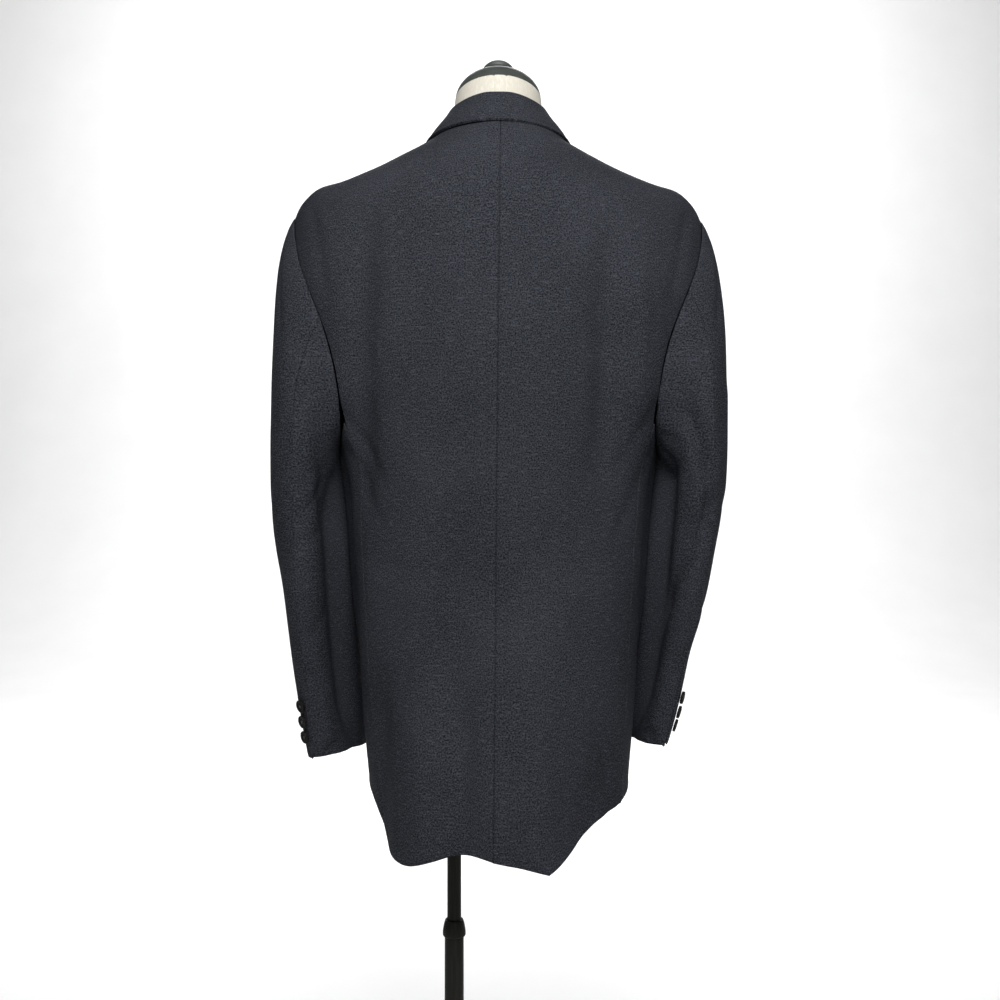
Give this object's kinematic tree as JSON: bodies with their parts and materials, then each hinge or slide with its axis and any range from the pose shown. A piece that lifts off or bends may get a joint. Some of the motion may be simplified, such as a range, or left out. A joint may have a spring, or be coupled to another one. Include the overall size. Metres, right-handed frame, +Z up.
{
  "type": "sport coat on a limbless dress form with a pole stand",
  "caption": "Single-breasted sport coat with set-in sleeves, worn by a limbless dress form on a height-adjustable pole stand.",
  "frame": {"origin": "on the floor, on the axis of the pole, at the middle of the base's underside", "axes": "+Z up, +Y out of the coat's front, +X to the wearer's right"},
  "size_m": [0.5124, 0.3256, 1.502],
  "materials": {
    "coat_cloth": "matte woven",
    "horn_buttons": "satin",
    "form_jersey": "matte knit",
    "cap_paint": "satin",
    "stand_enamel": "satin"
  },
  "bodies": {
    "stand": {"stand_base": "stand_enamel", "stand_tube": "stand_enamel", "stand_collar": "stand_enamel"},
    "mast": {"stand_mast": "stand_enamel"},
    "form": {"form_body": "form_jersey", "form_cap": "cap_paint", "form_knob": "cap_paint", "back_left": "coat_cloth", "side_left": "coat_cloth", "front_left": "coat_cloth", "lapel_left": "coat_cloth", "sleeve_top_left": "coat_cloth", "sleeve_under_left": "coat_cloth", "flap_left": "coat_cloth", "back_right": "coat_cloth", "side_right": "coat_cloth", "front_right": "coat_cloth", "lapel_right": "coat_cloth", "sleeve_top_right": "coat_cloth", "sleeve_under_right": "coat_cloth", "flap_right": "coat_cloth", "collar": "coat_cloth", "breast_welt": "coat_cloth", "front_button_1": "horn_buttons", "front_button_2": "horn_buttons", "cuff_button_left_1": "horn_buttons", "cuff_button_left_2": "horn_buttons", "cuff_button_left_3": "horn_buttons", "cuff_button_right_1": "horn_buttons", "cuff_button_right_2": "horn_buttons", "cuff_button_right_3": "horn_buttons"}
  },
  "joints": [
    {"name": "height_slide", "type": "slide", "parent": "stand", "child": "mast", "axis": [0, 0, 1], "range_m": [-0.1, 0.3]},
    {"name": "form_turn", "type": "hinge", "parent": "mast", "child": "form", "pos_m": [0, 0, 0.7], "axis": [0, 0, 1], "continuous": true}
  ]
}
